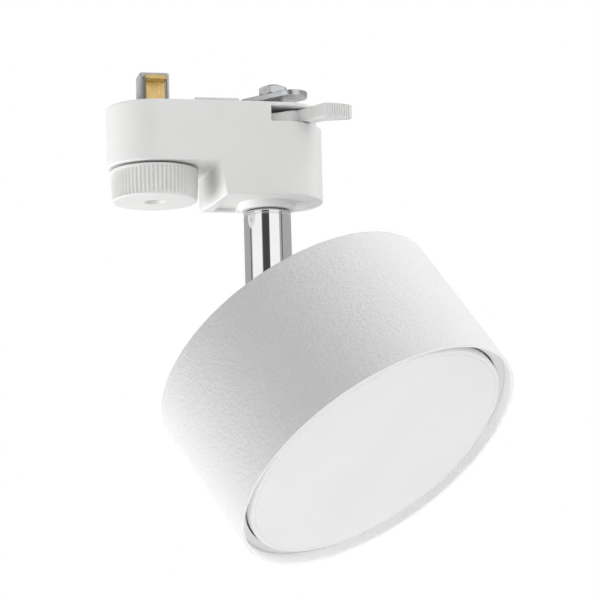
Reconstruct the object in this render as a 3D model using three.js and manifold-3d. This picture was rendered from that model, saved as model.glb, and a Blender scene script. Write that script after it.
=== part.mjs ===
// Track spotlight: a single-phase track adapter, a swivelling chrome stem and a tilting drum for a GX53 lamp.
// Millimetres, +Z up. The origin is the centre of the adapter's top face, which seats against the track.
// +X runs along the track towards the stem, and -Y is the side that the lock lever's finger sweeps through.

import * as THREE from "three";
import { mergeVertices } from "three/addons/utils/BufferGeometryUtils.js";
import Module from "manifold-3d";

const wasm = await Module();
wasm.setup();

// ---- Driving dimensions ----------------------------------------------------------------------------------
const CLEARANCE = 0.3;
const PRESS_GAP = 0.02; // between parts that are pressed together
const DEGREE = Math.PI / 180;

// Adapter: a stadium-shaped box, with a deeper block at its stem end
const ADAPTER_LENGTH = 57.8;
const ADAPTER_WIDTH = 25;
const UPPER_HEIGHT = 16.3;
const TOTAL_HEIGHT = 25.2;
const WALL = 1.8;
const END_X = (ADAPTER_LENGTH - ADAPTER_WIDTH) / 2;
const BLOCK_TOP_X = -1.55; // the middle of the block's wall beside the knob, where it meets the upper box
const BLOCK_BOTTOM_X = -0.75; // the same wall at the bottom face
const BLOCK_WALL_TURN = 4.5; // how far that wall is turned in plan, its front towards the stem
const BLOCK_WALL_HOLLOW = 0.6; // how far that wall is dished
const COVER_THICKNESS = 1.8;
const EDGE = 0.5;

// Lever slot in the adapter's end wall, as angles about the lever's axis
const SLOT_TOP = -1.05;
const SLOT_BOTTOM = -5.2;
const SLOT_START = -105.6;
const SLOT_END = 12;

// Contact knob
const KNOB_RADIUS = 11.6;
const KNOB_TOP = -16.9;
const KNOB_RIBS = 38;
const RIB_DEPTH = 0.35;
const SHAFT_RADIUS = 5.2;

// Lock lever: a disc with a finger that flares to an oblique ribbed end
const LEVER_ANGLE = -52;
const LEVER_DISC_RADIUS = 10.3;
const LEVER_DISC_TOP = -2.6;
const LEVER_DISC_BOTTOM = -4.9;
const SHOULDER_TOP = -1.8; // of the raised sector behind the finger
const FINGER_TOP = -1.35;
const GRIP_BOTTOM = -5.3;
const GRIP_START = 13;
const GRIP_NEAR_CORNER = [20.6, -3.8];
const GRIP_FAR_CORNER = [23.8, 3.6];
const GRIP_RIBS = 10;
const GRIP_GROOVE = 0.25;
const LEVER_SHAFT_RADIUS = 2.6;

// Stem
const STEM_X = 13.9;
const STEM_RADIUS = 6.3;
const STEM_BORE = 5.1;
const STEM_HEADING = -48.6;
const RING_HEIGHT = 1.9;
const NIPPLE_RADIUS = 4.8;
const HINGE_Z = -52.6;
const SLOT_WIDTH = 3.5;
const PIN_HOLE = 1.75;

// Drum head. Its own frame has its origin at the tilt hinge and the lamp facing -Z, hanging straight down.
const TILT = 37.6;
const DRUM_RADIUS = 41;
const DRUM_LENGTH = 41.5;
const DRUM_WALL = 0.8;
const BACK_THICKNESS = 1.6;
const REAR_Z = -13.7;
const FRONT_Z = REAR_Z - DRUM_LENGTH;
const INSIDE_Z = REAR_Z - BACK_THICKNESS;

// GX53 lamp and its holder
const LAMP_RADIUS = 37.5;
const LAMP_RECESS = 1.3;
const LAMP_FACE_Z = FRONT_Z + LAMP_RECESS;
const LAMP_BACK_Z = LAMP_FACE_Z + 24.6;
const PIN_CIRCLE = 26.5;
const HOLDER_RADIUS = 34;
const HOLDER_TOP_Z = INSIDE_Z - 4.2;
const HOLDER_FRONT_Z = LAMP_BACK_Z + CLEARANCE;
const SCREW_SPAN = 9.5; // the bracket's screws from the hinge's line
const HOLDER_SCREW_SPAN = 22;
const GROMMET_Y = 10.6;

// ---- Materials -------------------------------------------------------------------------------------------
const whitePlastic = () => new THREE.MeshStandardMaterial({ color: 0xf1f0ee, roughness: 0.42, metalness: 0 });
const greyPlastic = () => new THREE.MeshStandardMaterial({ color: 0xcfcfcc, roughness: 0.5, metalness: 0 });
const powderCoat = () => new THREE.MeshStandardMaterial({ color: 0xf4f4f3, roughness: 0.6, metalness: 0 });
const opal = () => new THREE.MeshStandardMaterial({ color: 0xf2f3f4, roughness: 0.35, metalness: 0 });
const chrome = () => new THREE.MeshStandardMaterial({ color: 0xdadcde, roughness: 0.06, metalness: 1 });
const steel = () => new THREE.MeshStandardMaterial({ color: 0xb4b6b8, roughness: 0.35, metalness: 1 });
const brass = () => new THREE.MeshStandardMaterial({ color: 0xc9a24e, roughness: 0.35, metalness: 1 });
const board = () => new THREE.MeshStandardMaterial({ color: 0xe8e8e4, roughness: 0.5, metalness: 0 });
const brownWire = () => new THREE.MeshStandardMaterial({ color: 0x5a3420, roughness: 0.5, metalness: 0 });
const blueWire = () => new THREE.MeshStandardMaterial({ color: 0x2a5fa8, roughness: 0.5, metalness: 0 });
const rubber = () => new THREE.MeshStandardMaterial({ color: 0xd8d8d5, roughness: 0.8, metalness: 0 });

// ---- Solids ----------------------------------------------------------------------------------------------

// Six times the signed volume: positive when the faces point out.
function signedVolume(positions, triangles) {
  const [a, b, c] = [new THREE.Vector3(), new THREE.Vector3(), new THREE.Vector3()];
  let total = 0;
  for (let i = 0; i < triangles.length; i += 3) {
    a.fromArray(positions, 3 * triangles[i]);
    b.fromArray(positions, 3 * triangles[i + 1]);
    c.fromArray(positions, 3 * triangles[i + 2]);
    total += a.dot(b.cross(c));
  }
  return total;
}

// A geometry as a manifold solid, with shared vertices merged and its faces pointing out.
function solid(geometry) {
  const bare = geometry.clone();
  bare.deleteAttribute("normal");
  bare.deleteAttribute("uv");
  const merged = mergeVertices(bare, 1e-4);
  const positions = new Float32Array(merged.attributes.position.array);
  const triangles = [];
  for (let i = 0; i < merged.index.count; i += 3) {
    const [a, b, c] = [0, 1, 2].map((k) => merged.index.getX(i + k));
    if (a !== b && b !== c && c !== a) {
      triangles.push(a, b, c);
    }
  }
  if (signedVolume(positions, triangles) < 0) {
    triangles.reverse();
  }
  const mesh = new wasm.Mesh({ numProp: 3, vertProperties: positions, triVerts: new Uint32Array(triangles) });
  return new wasm.Manifold(mesh);
}

const join = (first, ...others) => others.reduce((sum, other) => sum.add(other), first);
const cut = (first, ...others) => others.reduce((rest, other) => rest.subtract(other), first);

function geometryOf(manifold) {
  const mesh = manifold.getMesh();
  const geometry = new THREE.BufferGeometry();
  geometry.setAttribute("position", new THREE.BufferAttribute(new Float32Array(mesh.vertProperties), 3));
  geometry.setIndex(Array.from(mesh.triVerts));
  geometry.computeVertexNormals();
  return geometry;
}

// A closed profile of [radius, z] points turned about the Z axis.
function turned(profile, segments = 32) {
  const points = profile.map(([radius, z]) => new THREE.Vector2(radius, z));
  if (profile[0][0] > 0) {
    points.push(points[0].clone());
  }
  return solid(new THREE.LatheGeometry(points, segments).rotateX(Math.PI / 2));
}

function rod(radius, low, high, { x = 0, y = 0, segments = 24 } = {}) {
  const cylinder = new THREE.CylinderGeometry(radius, radius, high - low, segments).rotateX(Math.PI / 2);
  return solid(cylinder.translate(x, y, (low + high) / 2));
}

function box([x0, x1], [y0, y1], [z0, z1]) {
  const block = new THREE.BoxGeometry(x1 - x0, y1 - y0, z1 - z0);
  return solid(block.translate((x0 + x1) / 2, (y0 + y1) / 2, (z0 + z1) / 2));
}

// A plan shape raised from low to high, with its outer edges eased by bevel.
function prism(shape, low, high, { bevel = 0, curveSegments = 12 } = {}) {
  const depth = high - low - 2 * bevel;
  const options = { depth, curveSegments, bevelEnabled: bevel > 0, bevelSegments: 2 };
  Object.assign(options, { bevelThickness: bevel, bevelSize: bevel, bevelOffset: -bevel });
  return solid(new THREE.ExtrudeGeometry(shape, options).translate(0, 0, low + bevel));
}

function stadium(inset = 0) {
  const radius = ADAPTER_WIDTH / 2 - inset;
  const shape = new THREE.Shape();
  shape.absarc(END_X, 0, radius, -Math.PI / 2, Math.PI / 2, false);
  shape.absarc(-END_X, 0, radius, Math.PI / 2, 1.5 * Math.PI, false);
  return shape;
}

function polygon(points) {
  return new THREE.Shape(points.map(([x, y]) => new THREE.Vector2(x, y)));
}

// A sector of a ring about the origin, between two angles in degrees.
function ringSector(inner, outer, start, end) {
  const shape = new THREE.Shape();
  shape.absarc(0, 0, outer, start * DEGREE, end * DEGREE, false);
  shape.absarc(0, 0, inner, end * DEGREE, start * DEGREE, true);
  return shape;
}

const hexagon = (acrossFlats) => polygon([0, 1, 2, 3, 4, 5].map((side) => {
  const corner = acrossFlats / Math.sqrt(3);
  return [corner * Math.cos(side * 60 * DEGREE), corner * Math.sin(side * 60 * DEGREE)];
}));

// A pan-head screw, head upwards: the head's underside is at z = 0 and the shank runs down.
function screw({ head, headHeight, shank, length, slot = true }) {
  const profile = [
    [0, -length], [shank, -length + 0.5], [shank, 0],
    [head, 0], [head, headHeight * 0.5], [head * 0.7, headHeight], [0, headHeight],
  ];
  const body = turned(profile, 12);
  const groove = box([-2 * head, 2 * head], [-0.3, 0.3], [headHeight * 0.45, headHeight + 1]);
  return slot ? cut(body, groove) : body;
}

function nut({ acrossFlats, height, hole }) {
  return cut(prism(hexagon(acrossFlats), 0, height), rod(hole, -1, height + 1, { segments: 16 }));
}

// An insulated wire through the given points.
function wire(points, radius = 0.7) {
  const route = new THREE.CatmullRomCurve3(points.map((point) => new THREE.Vector3(...point)));
  const section = new THREE.Shape().absarc(0, 0, radius, 0, 2 * Math.PI);
  const options = { steps: 12, curveSegments: 4, extrudePath: route, bevelEnabled: false };
  return solid(new THREE.ExtrudeGeometry(section, options));
}

// ---- Scene graph -----------------------------------------------------------------------------------------
const spotlight = new THREE.Group();
const group = (parent, place = {}) => {
  const child = new THREE.Group();
  child.position.set(place.x ?? 0, place.y ?? 0, place.z ?? 0);
  child.rotation.set((place.rx ?? 0) * DEGREE, (place.ry ?? 0) * DEGREE, (place.rz ?? 0) * DEGREE);
  parent.add(child);
  return child;
};

function piece(parent, name, shape, material, place = {}) {
  const mesh = new THREE.Mesh(geometryOf(shape), material);
  mesh.name = name;
  mesh.position.set(place.x ?? 0, place.y ?? 0, place.z ?? 0);
  mesh.rotation.set((place.rx ?? 0) * DEGREE, (place.ry ?? 0) * DEGREE, (place.rz ?? 0) * DEGREE);
  parent.add(mesh);
}

const adapter = group(spotlight);
const knob = group(spotlight, { x: -END_X });
const lever = group(spotlight, { x: END_X, rz: LEVER_ANGLE });
const stem = group(spotlight, { x: STEM_X, rz: STEM_HEADING });
const head = group(stem, { z: HINGE_Z, ry: -TILT });

// ---- Adapter ---------------------------------------------------------------------------------------------
const POST_X = -1.5;
const POST_Y = 8.4;
const FLOOR_Z = -UPPER_HEIGHT + WALL;
const BLOCK_FLOOR_Z = -TOTAL_HEIGHT + WALL;

// The space under the upper box that the block fills, less the walls around its cavity.
function blockWedge(sideWall, floor) {
  const bottom = -TOTAL_HEIGHT + floor;
  const profile = polygon([
    [BLOCK_TOP_X + sideWall, -UPPER_HEIGHT + 2], [BLOCK_TOP_X + sideWall, -UPPER_HEIGHT],
    [BLOCK_BOTTOM_X + sideWall, bottom + EDGE], [BLOCK_BOTTOM_X + sideWall + EDGE, bottom],
    [ADAPTER_LENGTH, bottom], [ADAPTER_LENGTH, -UPPER_HEIGHT + 2],
  ]);
  const across = new THREE.ExtrudeGeometry(profile, { depth: 2 * ADAPTER_WIDTH, bevelEnabled: false });
  return solid(across.rotateX(Math.PI / 2).translate(0, ADAPTER_WIDTH, 0)).rotate([0, 0, BLOCK_WALL_TURN]);
}

function dishedWallCutter() {
  const radius = ADAPTER_WIDTH ** 2 / (8 * BLOCK_WALL_HOLLOW);
  const drop = TOTAL_HEIGHT - UPPER_HEIGHT;
  const draft = Math.atan2(BLOCK_BOTTOM_X - BLOCK_TOP_X, drop);
  const drum = new THREE.CylinderGeometry(radius, radius, drop * 1.4, 160);
  drum.rotateX(Math.PI / 2).rotateY(-draft);
  const middle = (BLOCK_TOP_X + BLOCK_BOTTOM_X) / 2 + BLOCK_WALL_HOLLOW;
  const below = box([-radius * 3, radius], [-radius, radius], [-2 * TOTAL_HEIGHT, -UPPER_HEIGHT]);
  const hollow = solid(drum.translate(middle - radius, 0, -UPPER_HEIGHT - drop / 2));
  return hollow.rotate([0, 0, BLOCK_WALL_TURN]).intersect(below);
}

function adapterHousing() {
  const upper = prism(stadium(), -UPPER_HEIGHT, 0, { bevel: EDGE });
  const full = prism(stadium(), -TOTAL_HEIGHT, -EDGE, { bevel: EDGE });
  const outside = join(upper, cut(full.intersect(blockWedge(0, 0)), dishedWallCutter()));
  const cavity = prism(stadium(WALL), FLOOR_Z, 1);
  const cavityWedge = blockWedge(WALL + BLOCK_WALL_HOLLOW, WALL);
  const blockCavity = prism(stadium(WALL), BLOCK_FLOOR_Z, 0).intersect(cavityWedge);
  let shell = cut(outside, cavity, blockCavity);
  for (const side of [-1, 1]) {
    const place = { x: POST_X, y: side * POST_Y, segments: 16 };
    shell = cut(join(shell, rod(2.6, FLOOR_Z - 0.5, -COVER_THICKNESS, place)), rod(1.25, -11, 0, place));
  }
  const slotShape = ringSector(8, 20, SLOT_START, SLOT_END);
  const leverSlot = prism(slotShape, SLOT_BOTTOM, SLOT_TOP).translate([END_X, 0, 0]);
  const knobBore = rod(SHAFT_RADIUS + CLEARANCE, -UPPER_HEIGHT - 1, 0, { x: -END_X });
  const stemBore = rod(NIPPLE_RADIUS + CLEARANCE, -TOTAL_HEIGHT - 1, BLOCK_FLOOR_Z + 1, { x: STEM_X });
  const pocket = box([1.4, STEM_X - 6.5], [0.5, 10.8], [-TOTAL_HEIGHT - 1, -TOTAL_HEIGHT + 0.8]);
  return cut(shell, leverSlot, knobBore, stemBore, pocket);
}
piece(adapter, "adapter_housing", adapterHousing(), whitePlastic());

function adapterCover() {
  let plate = prism(stadium(WALL + CLEARANCE), -COVER_THICKNESS, 0);
  for (const side of [-1, 1]) {
    const rib = box([-6, 6], [side * 4.6 - 0.8, side * 4.6 + 0.8], [-0.5, 2.4]);
    const place = { x: POST_X, y: side * POST_Y, segments: 16 };
    plate = cut(join(plate, rib), rod(1.4, -5, 1, place), rod(2.4, -0.9, 1, place));
  }
  const shaftHole = rod(SHAFT_RADIUS + CLEARANCE, -5, 5, { x: -END_X });
  const leverHole = rod(LEVER_SHAFT_RADIUS + CLEARANCE, -5, 5, { x: END_X });
  const leverRecess = rod(LEVER_DISC_RADIUS + 0.5, -5, SLOT_TOP + 0.1, { x: END_X, segments: 40 });
  return cut(plate, shaftHole, leverHole, leverRecess);
}
piece(adapter, "adapter_cover", adapterCover(), whitePlastic());

const coverScrew = { head: 2.1, headHeight: 0.8, shank: 1.1, length: 8 };
piece(adapter, "cover_screw_front", screw(coverScrew), steel(), { x: POST_X, y: -POST_Y, z: -0.9 });
piece(adapter, "cover_screw_back", screw(coverScrew), steel(), { x: POST_X, y: POST_Y, z: -0.9 });

// The terminal block stands on the housing's floor, between the contacts and the stem.
const TERMINAL_X = -6.2;
const TERMINAL_Y = 2.7;
const TERMINAL_HEIGHT = 6.4;
const TERMINAL_TOP = FLOOR_Z + TERMINAL_HEIGHT;
let terminalBlock = box([TERMINAL_X - 3.6, TERMINAL_X + 3.6], [-5.3, 5.3], [FLOOR_Z, TERMINAL_TOP]);
for (const side of [-1, 1]) {
  const well = { x: TERMINAL_X, y: side * TERMINAL_Y, segments: 12 };
  terminalBlock = cut(terminalBlock, rod(1.7, FLOOR_Z + 2.4, TERMINAL_TOP + 1, well));
}
piece(adapter, "terminal_block", terminalBlock, greyPlastic());
const terminalScrew = screw({ head: 1.35, headHeight: 0.9, shank: 0.9, length: 2.2 });
for (const [name, side] of [["live", -1], ["neutral", 1]]) {
  const place = { x: TERMINAL_X, y: side * TERMINAL_Y, z: TERMINAL_TOP - 1.6 };
  piece(adapter, `terminal_screw_${name}`, terminalScrew, brass(), place);
}

// A cross plate carries the lever shaft's lower end above the stem nut.
const PLATE_TOP = -7.4;
const pivotPlate = cut(
  prism(stadium(WALL + CLEARANCE), PLATE_TOP - 1.6, PLATE_TOP),
  box([-ADAPTER_LENGTH, 9.6], [-ADAPTER_WIDTH, ADAPTER_WIDTH], [-20, 0]),
  rod(LEVER_SHAFT_RADIUS + CLEARANCE, -20, 0, { x: END_X }),
);
piece(adapter, "pivot_plate", pivotPlate, greyPlastic());

const swivelRing = turned([
  [NIPPLE_RADIUS + CLEARANCE, 0], [NIPPLE_RADIUS + CLEARANCE, -RING_HEIGHT],
  [7.2, -RING_HEIGHT], [7.75, -RING_HEIGHT + 0.5], [7.75, 0],
], 32);
piece(adapter, "swivel_ring", swivelRing, whitePlastic(), { x: STEM_X, z: -TOTAL_HEIGHT });

for (const [name, side, insulation] of [["live", -1, brownWire()], ["neutral", 1, blueWire()]]) {
  const route = [
    [TERMINAL_X + 3.9, side * TERMINAL_Y, FLOOR_Z + 1.6], [1.5, side * 2.6, FLOOR_Z + 1.8],
    [7, side * 1.9, FLOOR_Z + 1.5], [STEM_X - 3, side * 1.4, FLOOR_Z - 0.2],
    [STEM_X - 1.2, side * 1.3, -17.3],
  ];
  piece(adapter, `adapter_wire_${name}`, wire(route), insulation);
}

// ---- Contact knob ----------------------------------------------------------------------------------------
// Alternate meridians of the turned knob are pulled in below its smooth band, which makes the grip's ribs.
function contactKnob() {
  const bottom = -TOTAL_HEIGHT;
  const foot = KNOB_RADIUS - 0.3;
  const profile = [
    [0, KNOB_TOP - 2], [3, KNOB_TOP - 2], [3, KNOB_TOP], [KNOB_RADIUS - 0.2, KNOB_TOP],
    [KNOB_RADIUS, KNOB_TOP - 0.2], [KNOB_RADIUS, KNOB_TOP - 1.3], [KNOB_RADIUS - 0.01, KNOB_TOP - 1.35],
    [foot, bottom + 1.2], [foot - 0.5, bottom + 0.35], [foot - 1.4, bottom],
    [3, bottom], [2.2, bottom + 0.7], [0, bottom + 0.95],
  ];
  const points = profile.map(([radius, z]) => new THREE.Vector2(radius, z));
  const shape = new THREE.LatheGeometry(points, 2 * KNOB_RIBS).rotateX(Math.PI / 2);
  const position = shape.attributes.position;
  for (let meridian = 1; meridian < 2 * KNOB_RIBS; meridian += 2) {
    for (const ring of [6, 7]) {
      const vertex = meridian * profile.length + ring;
      const scale = 1 - RIB_DEPTH / KNOB_RADIUS;
      position.setXY(vertex, position.getX(vertex) * scale, position.getY(vertex) * scale);
    }
  }
  return solid(shape);
}
piece(knob, "contact_knob", contactKnob(), whitePlastic());

const SHAFT_TOP = 9.4;
const BLADE_FACE = 3.2;
const contactShaft = join(
  rod(SHAFT_RADIUS, KNOB_TOP, 0.6, { segments: 28 }),
  rod(2.7, KNOB_TOP - 1.7, KNOB_TOP + 1, { segments: 16 }),
  box([-4, 4], [-BLADE_FACE, BLADE_FACE], [0, SHAFT_TOP]),
);
piece(knob, "contact_shaft", contactShaft, greyPlastic());

// Each blade is an L: a leg on the shaft's flat and a tongue out to the track's conductor.
const bladeProfile = [
  [0, 0.9], [0.8, 0.9], [0.8, 6.4], [4.6, 6.4], [4.6, 7.2], [0.8, 7.2], [0.8, 8.6], [0, 8.6],
];
for (const [name, side] of [["live", -1], ["neutral", 1]]) {
  const profile = polygon(bladeProfile.map(([out, z]) => [side * (BLADE_FACE + PRESS_GAP + out), z]));
  const strip = new THREE.ExtrudeGeometry(profile, { depth: 5, bevelEnabled: false });
  const blade = solid(strip.rotateX(Math.PI / 2).rotateZ(Math.PI / 2).translate(-2.5, 0, 0));
  piece(knob, `contact_blade_${name}`, blade, brass());
}

// ---- Lock lever, built with its finger along +X -----------------------------------------------------------
function lockLever() {
  const disc = rod(LEVER_DISC_RADIUS, LEVER_DISC_BOTTOM, LEVER_DISC_TOP, { segments: 40 });
  const shoulderPlan = ringSector(6, LEVER_DISC_RADIUS, -34, -4);
  const shoulder = prism(shoulderPlan, LEVER_DISC_BOTTOM, SHOULDER_TOP, { curveSegments: 8 });
  const neckPlan = polygon([[8, -2.1], [GRIP_START + 0.6, -2.4], [GRIP_START + 0.6, 0.6], [8, 1.6]]);
  const neck = prism(neckPlan, LEVER_DISC_BOTTOM - 0.05, FINGER_TOP);
  const [near, far] = [GRIP_NEAR_CORNER, GRIP_FAR_CORNER].map(([x, y]) => new THREE.Vector2(x, y));
  const along = far.clone().sub(near);
  const inwards = new THREE.Vector2(-along.y, along.x).normalize().multiplyScalar(GRIP_GROOVE);
  const ribs = [];
  for (let step = 0; step <= 2 * GRIP_RIBS; step += 1) {
    const point = near.clone().addScaledVector(along, step / (2 * GRIP_RIBS));
    ribs.push(step % 2 ? point.add(inwards).toArray() : point.toArray());
  }
  const outline = polygon([[GRIP_START, -2.3], ...ribs, [17, 0.75], [GRIP_START, 0.6]]);
  const grip = prism(outline, GRIP_BOTTOM, FINGER_TOP);
  const bore = rod(LEVER_SHAFT_RADIUS, -8, 0);
  return cut(join(disc, shoulder, neck, grip), cut(bore, box([-3, 3], [2, 4], [-9, 0])));
}
piece(lever, "lock_lever", lockLever(), whitePlastic());

// The lever's hole has a flat, and so has the shaft, so they turn together.
const leverShaft = cut(
  join(rod(LEVER_SHAFT_RADIUS - 0.05, -10.4, 2.6), rod(1.9, 2, 7.4, { segments: 16 })),
  box([-3, 3], [1.9, 4], [-5.6, -1.9]),
);
piece(lever, "lever_shaft", leverShaft, steel());

function roundedBar(length, width) {
  const shape = new THREE.Shape();
  shape.absarc(length / 2 - width / 2, 0, width / 2, -Math.PI / 2, Math.PI / 2, false);
  shape.absarc(width / 2 - length / 2, 0, width / 2, Math.PI / 2, 1.5 * Math.PI, false);
  return shape;
}
const tabBar = prism(roundedBar(21, 8.4), 2.7, 4.3, { curveSegments: 8 });
const lockTab = cut(tabBar, rod(2, 0, 6, { segments: 16 }));
piece(lever, "lock_tab", lockTab, steel());
piece(lever, "tab_nut", nut({ acrossFlats: 7, height: 2.4, hole: 2 }), steel(), { z: 4.35 });

// ---- Stem, with its X axis towards the side that the lamp faces -------------------------------------------
const STEM_TOP = -TOTAL_HEIGHT - RING_HEIGHT - 0.1;
const STEM_END = HINGE_Z - 4.8;

function stemTube() {
  const tube = turned([
    [STEM_BORE, STEM_TOP], [STEM_RADIUS - 0.7, STEM_TOP], [STEM_RADIUS - 0.15, STEM_TOP - 0.35],
    [STEM_RADIUS, STEM_TOP - 0.9], [STEM_RADIUS, STEM_END + 0.3], [STEM_RADIUS - 0.3, STEM_END],
    [STEM_BORE, STEM_END],
  ], 32);
  const slot = box([-10, 10], [-SLOT_WIDTH / 2, SLOT_WIDTH / 2], [STEM_END - 1, HINGE_Z + 6.5]);
  const pinHole = solid(new THREE.CylinderGeometry(PIN_HOLE, PIN_HOLE, 20, 16).translate(0, 0, HINGE_Z));
  return cut(tube, slot, pinHole);
}
piece(stem, "stem_tube", stemTube(), chrome());

const nippleProfile = [[3.5, -17.9], [NIPPLE_RADIUS, -17.9], [NIPPLE_RADIUS, -38], [3.5, -38]];
piece(stem, "stem_nipple", turned(nippleProfile, 28), steel());
const stemNut = nut({ acrossFlats: 14, height: 3, hole: NIPPLE_RADIUS + 0.1 });
piece(stem, "stem_nut", stemNut, steel(), { z: -22.6 });
const washerProfile = [[NIPPLE_RADIUS + 0.2, 0], [7.6, 0], [7.6, 0.6], [NIPPLE_RADIUS + 0.2, 0.6]];
piece(stem, "swivel_washer", turned(washerProfile, 28), steel(), { z: BLOCK_FLOOR_Z + 0.1 });

// Tilt pivot, along the stem's Y axis
const tiltScrew = screw({ head: 2.9, headHeight: 1.7, shank: 1.5, length: 16.2 });
piece(stem, "tilt_screw", tiltScrew, steel(), { y: -STEM_RADIUS - 0.35, z: HINGE_Z, rx: 90 });
const tiltNut = nut({ acrossFlats: 5.5, height: 2.4, hole: 1.6 });
piece(stem, "tilt_nut", tiltNut, steel(), { y: STEM_RADIUS + 0.35 + 2.4, z: HINGE_Z, rx: 90 });
const bushProfile = [[1.7, 0], [2.8, 0], [2.8, 2.3], [1.7, 2.3]];
piece(stem, "tilt_bush_front", turned(bushProfile, 20), greyPlastic(), { y: -1.75, z: HINGE_Z, rx: 90 });
piece(stem, "tilt_bush_back", turned(bushProfile, 20), greyPlastic(), { y: 4.05, z: HINGE_Z, rx: 90 });

for (const [name, side, insulation] of [["live", -1, brownWire()], ["neutral", 1, blueWire()]]) {
  const route = [
    [0, side * 1.2, -18.4], [0, side * 1.3, -26], [0, side * 1.5, -34], [0, side * 1.6, -40],
    [0, side * 1.6, HINGE_Z + 8],
  ];
  piece(stem, `stem_wire_${name}`, wire(route), insulation);
}

// ---- Drum head -------------------------------------------------------------------------------------------
function tiltBracket() {
  const flangeTop = REAR_Z + CLEARANCE + 2;
  const outline = new THREE.Shape();
  outline.absarc(0, 0, 4.5, 0, Math.PI, false);
  outline.lineTo(-4.9, flangeTop - 0.5);
  outline.lineTo(4.9, flangeTop - 0.5);
  const plate = new THREE.ExtrudeGeometry(outline, { depth: 2.9, bevelEnabled: false, curveSegments: 10 });
  const lug = solid(plate.rotateX(Math.PI / 2).translate(0, 1.45, 0));
  let flange = prism(roundedBar(2 * SCREW_SPAN + 9, 12), REAR_Z + CLEARANCE, flangeTop, { curveSegments: 8 });
  for (const side of [-1, 1]) {
    flange = cut(flange, rod(1.7, REAR_Z - 5, 0, { x: side * SCREW_SPAN, segments: 16 }));
  }
  const pinHole = solid(new THREE.CylinderGeometry(PIN_HOLE, PIN_HOLE, 10, 16));
  return cut(join(lug, flange), pinHole);
}
piece(head, "tilt_bracket", tiltBracket(), steel());

// The drum is a tube with a back plate pressed into its rear end.
const INNER_RADIUS = DRUM_RADIUS - DRUM_WALL;
const drumShell = turned([
  [INNER_RADIUS, REAR_Z], [DRUM_RADIUS - 0.9, REAR_Z], [DRUM_RADIUS - 0.25, REAR_Z - 0.25],
  [DRUM_RADIUS, REAR_Z - 0.9], [DRUM_RADIUS, FRONT_Z + 0.3], [DRUM_RADIUS - 0.3, FRONT_Z],
  [INNER_RADIUS, FRONT_Z],
], 56);
piece(head, "drum_shell", drumShell, powderCoat());

// A white ring behind the lamp's rim closes the gap around it.
const trimRing = turned([
  [LAMP_RADIUS + 0.35, LAMP_FACE_Z + 2], [INNER_RADIUS - PRESS_GAP, LAMP_FACE_Z + 2],
  [INNER_RADIUS - PRESS_GAP, LAMP_FACE_Z + 3.6], [LAMP_RADIUS + 0.35, LAMP_FACE_Z + 3.6],
], 56);
piece(head, "trim_ring", trimRing, whitePlastic());

function drumBack() {
  const plate = rod(INNER_RADIUS - PRESS_GAP, INSIDE_Z, REAR_Z, { segments: 56 });
  const holes = [-1, 1].flatMap((side) => [
    rod(1.7, INSIDE_Z - 1, REAR_Z + 1, { x: side * SCREW_SPAN, segments: 16 }),
    rod(1.7, INSIDE_Z - 1, REAR_Z + 1, { x: side * HOLDER_SCREW_SPAN, segments: 16 }),
  ]);
  return cut(plate, ...holes, rod(2.9, INSIDE_Z - 1, REAR_Z + 1, { y: GROMMET_Y, segments: 16 }));
}
piece(head, "drum_back", drumBack(), powderCoat());

const bracketScrew = screw({ head: 2.6, headHeight: 1.7, shank: 1.4, length: 8.2 });
const bracketNut = nut({ acrossFlats: 5.5, height: 2.2, hole: 1.5 });
const holderScrew = screw({ head: 2.6, headHeight: 1.7, shank: 1.4, length: 7.4 });
for (const [name, side] of [["left", -1], ["right", 1]]) {
  const onBracket = { x: side * SCREW_SPAN, z: REAR_Z + CLEARANCE + 2.3 };
  piece(head, `bracket_screw_${name}`, bracketScrew, steel(), onBracket);
  piece(head, `bracket_nut_${name}`, bracketNut, steel(), { x: side * SCREW_SPAN, z: INSIDE_Z - 2.5 });
  const onHolder = { x: side * HOLDER_SCREW_SPAN, z: REAR_Z + CLEARANCE };
  piece(head, `holder_screw_${name}`, holderScrew, steel(), onHolder);
}

const grommet = turned([
  [1.8, REAR_Z + 1.3], [3.3, REAR_Z + 1.3], [3.7, REAR_Z + 0.9], [3.7, REAR_Z + 0.25], [2.6, REAR_Z + 0.25],
  [2.6, INSIDE_Z - 0.25], [3.7, INSIDE_Z - 0.25], [3.7, INSIDE_Z - 1], [1.8, INSIDE_Z - 1],
], 16);
piece(head, "cable_grommet", grommet, rubber(), { y: GROMMET_Y });

// The lampholder: a disc with a keyhole slot for each lamp pin. Each slot is narrow at the face, so a
// turned lamp is held by its pins' heads, and has a wide end where the heads enter.
const LAMP_TWIST = 18;

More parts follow.
